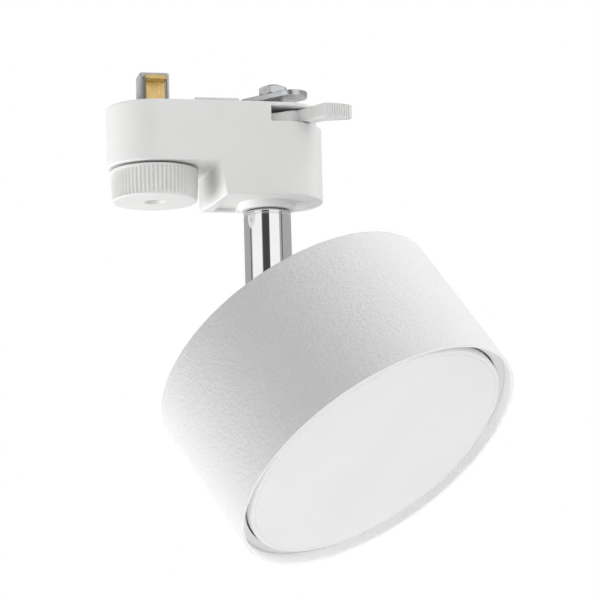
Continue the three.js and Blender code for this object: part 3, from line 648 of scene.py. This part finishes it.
def cover():
    plate = slab(stadium(WALL + CLEARANCE), -COVER_THICKNESS, 0.0, 0.1, 0.3)
    for middle in (-GUIDE_RIB_Y, GUIDE_RIB_Y):
        plate = join(plate, slab(rectangle(-6, 6, middle - 0.8, middle + 0.8, 0.3), -0.5, 2.4, 0, 0.3))
    holes = [
        rod(SHAFT_RADIUS + CLEARANCE, -5, 5, -END_X),
        rod(LEVER_SHAFT_RADIUS + CLEARANCE, -5, 5, END_X),
        rod(LEVER_DISC_RADIUS + 0.5, -5, SLOT_TOP + 0.1, END_X, segments=96),
    ]
    for side in (-1, 1):
        holes += [
            rod(1.4, -5, 1, POST_X, side * POST_Y),
            rod(2.4, -0.9, 1, POST_X, side * POST_Y),
        ]
    return cut(plate, *holes)


piece("cover", cover(), "adapter_white", "adapter", ADAPTER, ["adapter_cover"])
for name, side in (("front", -1), ("back", 1)):
    place = shift(POST_X, side * POST_Y, -0.9)
    steel_part(f"cover_fastener_{name}", pan_screw(*COVER_SCREW), "adapter", place, f"cover_screw_{name}")

ring_profile = eased([
    (NIPPLE_RADIUS + CLEARANCE, 0.0), (NIPPLE_RADIUS + CLEARANCE, -RING_HEIGHT, 0.2),
    (6.9, -RING_HEIGHT, 0.35), (RING_RADIUS - 0.15, -RING_HEIGHT + 0.55, 0.55), (RING_RADIUS, 0.0),
])
ring_place = shift(STEM_X, 0.0, -TOTAL_HEIGHT)
piece("ring", turned(ring_profile), "adapter_white", "adapter", ring_place, ["swivel_ring"])


# ---- Contact knob -----------------------------------------------------------------------------------
def knob():
    """The turned knob, with rounded ribs pressed in below its smooth band."""
    bottom = -TOTAL_HEIGHT
    top, low = KNOB_TOP - KNOB_BAND, bottom + 0.4
    foot = KNOB_RADIUS - 0.25
    dimple_top = bottom + DIMPLE_DEPTH
    profile = eased([
        (0.0, KNOB_TOP - 2.0), (3.0, KNOB_TOP - 2.0), (3.0, KNOB_TOP, 0.1), (KNOB_RADIUS, KNOB_TOP, 0.2),
        (KNOB_RADIUS, KNOB_TOP - 0.6), (KNOB_RADIUS, top), (KNOB_RADIUS - 0.01, KNOB_TOP - 0.85),
        (KNOB_RADIUS - 0.06, -20.0), (KNOB_RADIUS - 0.15, -22.0), (foot, bottom + 1.25),
        (foot - 0.05, bottom + 0.75), (foot - 0.1, bottom + 0.5), (foot - 0.2, bottom, 0.35),
        (DIMPLE_RADIUS, bottom, 0.15), (DIMPLE_RADIUS - 0.25, dimple_top, 0.5), (0.0, dimple_top),
    ], 4)
    per_rib = 8
    bm = turned(profile, KNOB_RIBS * per_rib)
    for vertex in bm.verts:
        x, y, z = vertex.co
        radius = math.hypot(x, y)
        if radius < KNOB_RADIUS - 0.7 or z > top or z < low:
            continue
        fade = min(1.0, (top - z) / 0.2, max(0.0, z - low) / 0.3)
        wave = 0.5 + 0.5 * math.cos(KNOB_RIBS * math.atan2(y, x))
        scale = 1 - KNOB_RIB_DEPTH * fade * wave / radius
        vertex.co.x, vertex.co.y = x * scale, y * scale
    return bm


piece("knob_grip", knob(), "adapter_white", "knob", KNOB, ["contact_knob"], 50.0)


def shaft():
    round_part = turned(eased([
        (0.0, KNOB_TOP - 1.7), (2.7, KNOB_TOP - 1.7), (2.7, KNOB_TOP), (SHAFT_RADIUS, KNOB_TOP),
        (SHAFT_RADIUS, 0.6, 0.25), (0.0, 0.6),
    ]))
    post = slab(rectangle(-4, 4, -BLADE_FACE, BLADE_FACE, 0.5), 0.0, SHAFT_TOP, 0.0, 0.6)
    grooves = [
        slab(rectangle(side * 3.0 - 0.35, side * 3.0 + 0.35, -5, 5), 2.0, SHAFT_TOP - 1.4) for side in (-1, 1)
    ]
    keep = slab(rectangle(-5, 5, -BLADE_FACE + 0.5, BLADE_FACE - 0.5), 1.0, SHAFT_TOP)
    post = cut(post, *[cut(groove, keep.copy()) for groove in grooves])
    keep.free()
    return join(round_part, post)


piece("contact_carrier", shaft(), "inner_grey", "knob", KNOB, ["contact_shaft"])
for name, side in (("live", -1), ("neutral", 1)):
    # The strip's outline in (outwards, up), bent from a leg to a tongue
    strip = eased([
        (0.0, 0.9, 0.1), (0.8, 0.9, 0.1), (0.8, 6.4, 0.3), (4.6, 6.4, 0.35),
        (4.6, 7.2, 0.35), (0.8, 7.2, 0.3), (0.8, 8.6, 0.3), (0.0, 8.6, 0.3),
    ])
    upright = moved(slab(strip, -2.5, 2.5, 0.12, 0.12), Matrix((
        (0, 0, 1, 0), (side, 0, 0, side * (BLADE_FACE + 0.02)), (0, 1, 0, 0), (0, 0, 0, 1),
    )))
    piece(f"contact_spring_{name}", upright, "contact_brass", "knob", KNOB, [f"contact_blade_{name}"])


# ---- Lock lever, with its finger along +X ------------------------------------------------------------
def cam_ramp(steps=30):
    """A sector of a ring on the lever's disc, whose top climbs towards the finger."""
    sections = []
    for step in range(steps + 1):
        share = step / steps
        angle = math.radians(RAMP_START + (RAMP_END - RAMP_START) * share)
        top = RAMP_LOW + (RAMP_HIGH - RAMP_LOW) * share * share * (3 - 2 * share)
        inner, outer = 6.0, LEVER_DISC_RADIUS - 0.05
        sections.append([
            (radius * math.cos(angle), radius * math.sin(angle), z)
            for radius, z in ((inner, -4.6), (outer, -4.6), (outer, top), (inner, top))
        ])
    return rings_to_solid(sections, capped=True)


def on_grip(distance):
    """A point on the grip's outer face, which bulges a little, by the distance from its near corner."""
    along = GRIP_FAR_CORNER - GRIP_NEAR_CORNER
    share = distance / along.length
    outward = Vector((along.y, -along.x)).normalized()
    return GRIP_NEAR_CORNER + along * share + outward * (4 * GRIP_BULGE * share * (1 - share))


def lever():
    disc = turned(eased([
        (0.0, LEVER_DISC_BOTTOM), (LEVER_DISC_RADIUS, LEVER_DISC_BOTTOM, 0.2),
        (LEVER_DISC_RADIUS, LEVER_DISC_TOP, 0.2), (0.0, LEVER_DISC_TOP),
    ]), 128)
    face_length = (GRIP_FAR_CORNER - GRIP_NEAR_CORNER).length
    face = [tuple(on_grip(face_length * share)) for share in (0.28, 0.43, 0.57, 0.72)]
    outline = eased([
        (8.0, -2.0), (13.4, -2.35, 1.0), (17.0, -2.9), (17.4, 0.3), (13.0, 0.6, 1.0), (8.0, 1.6),
    ], 6)
    finger = slab(outline, LEVER_DISC_BOTTOM + 0.03, FINGER_TOP, 0.2, 0.35)
    grip_outline = eased([
        (13.2, -2.3), (*GRIP_NEAR_CORNER, 1.0), *face, (*GRIP_FAR_CORNER, 1.1),
        (17.0, 0.75, 2.0), (13.2, 0.6),
    ], 6)
    grip = slab(grip_outline, GRIP_BOTTOM, FINGER_TOP - 0.02, 0.8, 0.37)
    body = join(disc, cam_ramp(), finger, grip)
    grooves = []
    for groove in range(GRIP_GROOVES):
        spot = on_grip(FIRST_GROOVE + GROOVE_PITCH * groove)
        grooves.append(rod(GROOVE_RADIUS, GRIP_BOTTOM - 1, FINGER_TOP + 1, spot.x, spot.y, 12))
    bore = cut(rod(LEVER_SHAFT_RADIUS, -8, 0), slab(rectangle(-3, 3, 2, 4), -9, 0.5))
    return cut(body, *grooves, bore)


piece("lever", lever(), "adapter_white", "lever", LEVER, ["lock_lever"])


def lever_axle():
    thread = []
    z = 2.4
    while z < 7.0:
        thread += [(1.9, z), (1.9, z + 0.1), (1.68, z + 0.25)]
        z += 0.5
    profile = [
        (0.0, -10.4), (2.4, -10.4), (2.55, -10.2), (2.55, 2.0), (1.9, 2.0), *thread, (1.6, 7.4), (0.0, 7.4),
    ]
    flat = slab(rectangle(-3, 3, 1.9, 4), -5.6, -1.9)
    return cut(turned(profile, 64), flat)


steel_part("lever_axle", lever_axle(), "lever", LEVER, "lever_shaft")
tab = cut(slab(pill(21, 8.4), 2.7, 4.3, 0.25, 0.25), rod(2, 0, 6))
steel_part("track_tab", tab, "lever", LEVER, "lock_tab")
steel_part("axle_nut", hex_nut(*TAB_NUT), "lever", LEVER @ shift(z=4.35), "tab_nut")


# ---- Stem -------------------------------------------------------------------------------------------
def tube():
    """The chrome tube, with a groove turned just below its top end and a forked lower end."""
    groove_z = STEM_TOP - 0.95
    groove_depth = 0.35
    profile = eased([
        (STEM_BORE, STEM_TOP, 0.15), (STEM_RADIUS, STEM_TOP, 0.6), (STEM_RADIUS, groove_z, 0.08),
        (STEM_RADIUS - groove_depth, groove_z - 0.04), (STEM_RADIUS - groove_depth, groove_z - 0.28),
        (STEM_RADIUS, groove_z - 0.32, 0.08), (STEM_RADIUS, STEM_END, 0.25), (STEM_BORE, STEM_END, 0.15),
    ], 6)
    slot = slab(rectangle(-10, 10, -FORK_SLOT / 2, FORK_SLOT / 2), STEM_END - 1, FORK_TOP)
    pin = moved(rod(PIN_HOLE, -10, 10), shift(z=HINGE_Z) @ turn(90, "X"))
    return cut(turned(profile, 128), slot, pin)


piece("tube", tube(), "stem_chrome", "stem", STEM, ["stem_tube"], 30.0)
screw_place = STEM @ shift(y=-STEM_RADIUS - 0.35, z=HINGE_Z) @ turn(90, "X")
nut_place = STEM @ shift(y=STEM_RADIUS + 0.35 + TILT_NUT[1], z=HINGE_Z) @ turn(90, "X")
steel_part("tilt_fastener", pan_screw(*TILT_SCREW), "stem", screw_place, "tilt_screw")
steel_part("tilt_lock_nut", hex_nut(*TILT_NUT), "stem", nut_place, "tilt_nut")


# ---- Drum head --------------------------------------------------------------------------------------
def bracket():
    flange_top = REAR_Z + 0.3 + 2
    outline = [*arc(0, 0, 4.5, 0, 180, 32), (-4.9, flange_top - 0.5), (4.9, flange_top - 0.5)]
    lug = moved(slab(outline, -1.45, 1.45, 0.3, 0.3), turn(90, "X"))
    flange = slab(pill(2 * SCREW_SPAN + 9, 12), REAR_Z + 0.3, flange_top, 0.2, 0.5)
    holes = [rod(1.7, REAR_Z - 5, 0, side * SCREW_SPAN) for side in (-1, 1)]
    pin = moved(rod(PIN_HOLE, -6, 6), turn(90, "X"))
    return cut(join(lug, flange), pin, *holes)


piece("pivot_bracket", bracket(), "drum_powder_coat", "head", HEAD, ["tilt_bracket"])


def drum():
    profile = eased([
        (0.0, REAR_Z), (DRUM_RADIUS, REAR_Z, 1.0), (DRUM_RADIUS, REAR_Z - 14), (DRUM_RADIUS, REAR_Z - 28),
        (DRUM_RADIUS, FRONT_Z, 0.3), (DRUM_BORE, FRONT_Z, 0.25),
        (DRUM_BORE, FRONT_Z + 14), (DRUM_BORE, INSIDE_Z, 0.6), (0.0, INSIDE_Z),
    ], 6)
    holes = []
    for side in (-1, 1):
        for span in (SCREW_SPAN, HOLDER_SCREW_SPAN):
            holes.append(rod(1.7, INSIDE_Z - 1, REAR_Z + 1, side * span))
    holes.append(rod(2.9, INSIDE_Z - 1, REAR_Z + 1, 0, GROMMET_Y))
    return cut(turned(profile, 256), *holes)


piece("drum", drum(), "drum_powder_coat", "head", HEAD, ["drum_shell", "drum_back"])
trim_inner, trim_outer = LAMP_RADIUS + 0.35, DRUM_BORE - 0.02
trim_front, trim_back = LAMP_FACE_Z + 2, LAMP_FACE_Z + 3.6
trim_profile = eased([
    (trim_inner, trim_front, 0.3), (trim_outer, trim_front, 0.1), (trim_outer, trim_back, 0.1),
    (trim_inner, trim_back, 0.1),
])
piece("trim", turned(trim_profile, 256), "lamp_white", "head", HEAD, ["trim_ring"])
for name, side in (("left", -1), ("right", 1)):
    on_bracket = HEAD @ shift(side * SCREW_SPAN, 0, REAR_Z + 2.6)
    on_holder = HEAD @ shift(side * HOLDER_SCREW_SPAN, 0, REAR_Z + 0.3)
    inside = HEAD @ shift(side * SCREW_SPAN, 0, INSIDE_Z - 2.5)
    screw, nut = pan_screw(*BRACKET_SCREW), hex_nut(*BRACKET_NUT)
    steel_part(f"bracket_fastener_{name}", screw, "head", on_bracket, f"bracket_screw_{name}")
    steel_part(f"bracket_hexnut_{name}", nut, "head", inside, f"bracket_nut_{name}")
    screw = pan_screw(*HOLDER_SCREW)
    steel_part(f"holder_fastener_{name}", screw, "head", on_holder, f"holder_screw_{name}")

grommet_profile = eased([
    (1.8, REAR_Z + 1.3, 0.3), (3.3, REAR_Z + 1.3, 0.5), (3.7, REAR_Z + 0.25, 0.1), (2.6, REAR_Z + 0.25),
    (2.6, INSIDE_Z - 0.25), (3.7, INSIDE_Z - 0.25, 0.1), (3.7, INSIDE_Z - 1, 0.3), (1.8, INSIDE_Z - 1, 0.2),
])
grommet_place = HEAD @ shift(y=GROMMET_Y)
piece("wire_grommet", turned(grommet_profile, 64), "grommet_rubber", "head", grommet_place, ["cable_grommet"])

# ---- Lamp -------------------------------------------------------------------------------------------
body_profile = eased([
    (0.0, LAMP_BACK_Z), (31.4, LAMP_BACK_Z, 0.8), (31.4, LAMP_STEP_Z, 0.8), (36.9, LAMP_STEP_Z, 0.9),
    (36.9, BODY_RIM_Z, 0.15), (35.2, BODY_RIM_Z, 0.15), (35.2, LAMP_STEP_Z - 2.2), (29.8, LAMP_STEP_Z - 2.2),
    (29.8, LAMP_BACK_Z - 1.6), (0.0, LAMP_BACK_Z - 1.6),
])
piece("lamp_case", turned(body_profile, 192), "lamp_white", "lamp", HEAD, ["lamp_body"])

groove_radius = LAMP_RADIUS - 1.25
bore_radius = LAMP_RADIUS - 1.5
diffuser_profile = eased([
    (0.0, LAMP_FACE_Z - 0.02), (groove_radius - 0.15, LAMP_FACE_Z, 0.1), (groove_radius, LAMP_FACE_Z + 0.16),
    (groove_radius + 0.15, LAMP_FACE_Z + 0.02, 0.1), (LAMP_RADIUS, LAMP_FACE_Z + 0.02, 0.7),
    (LAMP_RADIUS, BODY_RIM_Z - 0.3, 0.2), (bore_radius, BODY_RIM_Z - 0.3), (bore_radius, LAMP_FACE_Z + 1.5),
    (0.0, LAMP_FACE_Z + 1.5),
])
piece("diffuser", turned(diffuser_profile, 256), "lamp_opal", "lamp", HEAD, ["lamp_diffuser"])

# ---- CAD nodes that stay: their finish by name -------------------------------------------------------
KEPT_LOOKS = {
    "terminal_block": "inner_grey", "pivot_plate": "inner_grey", "lampholder": "inner_grey",
    "lamp_driver": "inner_grey", "tilt_bush": "inner_grey", "terminal_screw": "contact_brass",
    "lamp_pin": "contact_brass", "led_board": "circuit_board", "stem_nipple": "zinc_steel",
    "stem_nut": "zinc_steel", "swivel_washer": "zinc_steel", "wire_live": "wire_brown",
    "wire_neutral": "wire_blue",
}
for node_name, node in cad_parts.items():
    if node.hide_render:
        continue
    slot_name = next(slot for part, slot in KEPT_LOOKS.items() if part in node_name)
    node.data.materials.clear()
    node.data.materials.append(LOOKS[slot_name])

# ---- Studio: a plain pale floor, and soft light ------------------------------------------------------
FLOOR_Z, FLOOR_RADIUS = -0.55, 6.0
# Patches of the world: azimuth, elevation, edge and core, in degrees
TENT_OPENING = (-42, 8, 84, 60)
UPPER_RIGHT = (52, 46, 60, 20)
TENT_LIGHT, UPPER_RIGHT_LIGHT = 0.64, 1.5
MIRRORED_PANELS = ((-68, 0, 27.5, 26.0), (22, 0, 25.5, 24.0))
ROOM_GREY, MIRRORED_LIGHT = 0.45, 0.62
# Mirrored dark stripes: a patch, and how much light it takes away
MIRRORED_STRIPES = (
    ((-21, 0, 19.0, 15.0), 0.85),
    ((-104, 0, 4.5, 2.0), 0.7),
    ((61, 0, 4.5, 2.0), 0.7),
)
# Panels: azimuth and elevation, then distance, radius and watts
LEFT_PANEL = (-116, -20), (0.9, 0.42, 6.2)
LOW_PANEL = (20, -72), (0.40, 0.22, 0.28)
ADAPTER_PANEL = (-72, -6), (0.9, 0.35, 3.2)
MOUTH_PANEL = (0.02, 0.012, 0.011)
DRUM_MIDDLE = Vector((0.035, -0.024, -0.085))
ADAPTER_MIDDLE = Vector((0.0, 0.0, -0.012))


def add_floor():
    bm = bmesh.new()
    bmesh.ops.create_circle(bm, cap_ends=True, radius=FLOOR_RADIUS, segments=96)
    bm.transform(Matrix.Translation((0, 0, FLOOR_Z)))
    floor = bpy.data.objects.new("floor", mesh_from(bm, "floor"))
    made, tree, shader = material("pale_floor", Roughness=0.8, Specular_IOR_Level=0.2)
    shades = tint(tree, noise(tree, 3.0), (0.88, 0.88, 0.88), (0.90, 0.90, 0.90))
    tree.links.new(shades, shader.inputs["Base Color"])
    floor.data.materials.append(made)
    bpy.context.scene.collection.objects.link(floor)


add_floor()


def calculate(tree, operation, *inputs):
    node = tree.nodes.new("ShaderNodeMath")
    node.operation = operation
    for index, value in enumerate(inputs):
        if isinstance(value, float):
            node.inputs[index].default_value = value
        else:
            tree.links.new(value, node.inputs[index])
    return node.outputs["Value"]


def patch(tree, direction, azimuth, elevation, edge, core, flat=False):
    """One up to core degrees from a direction, falling to nought at edge. A flat patch ignores height."""
    if flat:
        level = tree.nodes.new("ShaderNodeVectorMath")
        level.operation = "MULTIPLY"
        level.inputs[1].default_value = (1.0, 1.0, 0.0)
        tree.links.new(direction, level.inputs[0])
        unit = tree.nodes.new("ShaderNodeVectorMath")
        unit.operation = "NORMALIZE"
        tree.links.new(level.outputs["Vector"], unit.inputs[0])
        direction = unit.outputs["Vector"]
    dot = tree.nodes.new("ShaderNodeVectorMath")
    dot.operation = "DOT_PRODUCT"
    dot.inputs[1].default_value = facing(azimuth, elevation)
    tree.links.new(direction, dot.inputs[0])
    ramp = tree.nodes.new("ShaderNodeMapRange")
    ramp.interpolation_type = "SMOOTHSTEP"
    ramp.inputs["From Min"].default_value = math.cos(math.radians(edge))
    ramp.inputs["From Max"].default_value = math.cos(math.radians(core))
    tree.links.new(dot.outputs["Value"], ramp.inputs["Value"])
    return ramp.outputs["Result"]


def add_world():
    """A light tent, open to the left of the camera and brighter at the upper right.

    Polished parts mirror a grey room instead, with tall panels and dark stripes, and the camera sees white.
    """
    world = bpy.data.worlds.new("studio")
    world.use_nodes = True
    tree = world.node_tree
    direction = tree.nodes.new("ShaderNodeTexCoord").outputs["Generated"]
    closed = calculate(tree, "SUBTRACT", 1.0, patch(tree, direction, *TENT_OPENING))
    tent = calculate(tree, "MULTIPLY", closed, TENT_LIGHT)
    tent = calculate(tree, "MULTIPLY_ADD", patch(tree, direction, *UPPER_RIGHT), UPPER_RIGHT_LIGHT, tent)
    first, second = [patch(tree, direction, *place, flat=True) for place in MIRRORED_PANELS]
    panels = calculate(tree, "MAXIMUM", first, second)
    mirrored = calculate(tree, "MULTIPLY_ADD", panels, MIRRORED_LIGHT, ROOM_GREY)
    for place, darkness in MIRRORED_STRIPES:
        stripe = patch(tree, direction, *place, flat=True)
        dimmed = calculate(tree, "MULTIPLY_ADD", stripe, -darkness, 1.0)
        mirrored = calculate(tree, "MULTIPLY", mirrored, dimmed)
    rays = tree.nodes.new("ShaderNodeLightPath").outputs
    strength = tent
    for ray, value in (("Is Glossy Ray", mirrored), ("Is Camera Ray", 1.0)):
        mix = tree.nodes.new("ShaderNodeMix")
        tree.links.new(rays[ray], mix.inputs["Factor"])
        tree.links.new(strength, mix.inputs["A"])
        if isinstance(value, float):
            mix.inputs["B"].default_value = value
        else:
            tree.links.new(value, mix.inputs["B"])
        strength = mix.outputs["Result"]
    background = tree.nodes["Background"]
    background.inputs["Color"].default_value = (1.0, 1.0, 1.0, 1.0)
    tree.links.new(strength, background.inputs["Strength"])
    bpy.context.scene.world = world


add_world()


def add_panel(name, back, size, target, only=()):
    """A round soft panel that faces the target, and lights only the named pieces if there are any."""
    distance, radius, watts = size
    data = bpy.data.lights.new(name, "AREA")
    data.shape = "DISK"
    data.size = 2 * radius
    data.energy = watts
    panel = bpy.data.objects.new(name, data)
    heading = back.to_track_quat("Z", "Y").to_matrix().to_4x4()
    panel.matrix_world = Matrix.Translation(target + back * distance) @ heading
    panel.visible_camera = False
    panel.visible_glossy = False
    bpy.context.scene.collection.objects.link(panel)
    if only:
        lit = bpy.data.collections.new(name + "_lights")
        for piece_name in only:
            lit.objects.link(bpy.data.objects[piece_name])
        panel.light_linking.receiver_collection = lit


direction, size = LEFT_PANEL
add_panel("left_panel", facing(*direction), size, DRUM_MIDDLE)
direction, size = LOW_PANEL
add_panel("low_panel", facing(*direction), size, DRUM_MIDDLE)
direction, size = ADAPTER_PANEL
adapter_whites = ("housing", "knob_grip", "lever", "ring", "cover")
add_panel("adapter_panel", facing(*direction), size, ADAPTER_MIDDLE, adapter_whites)

# On the drum's axis, close in front of its mouth, so it reaches the rim and the inside wall only
MOUTH = HEAD @ shift(z=FRONT_Z)
mouth_axis = -(MOUTH.to_3x3() @ Vector((0, 0, 1)))
add_panel("mouth_panel", mouth_axis, MOUTH_PANEL, MOUTH.translation * MM, ("drum",))

bpy.context.scene.view_settings.view_transform = "Standard"
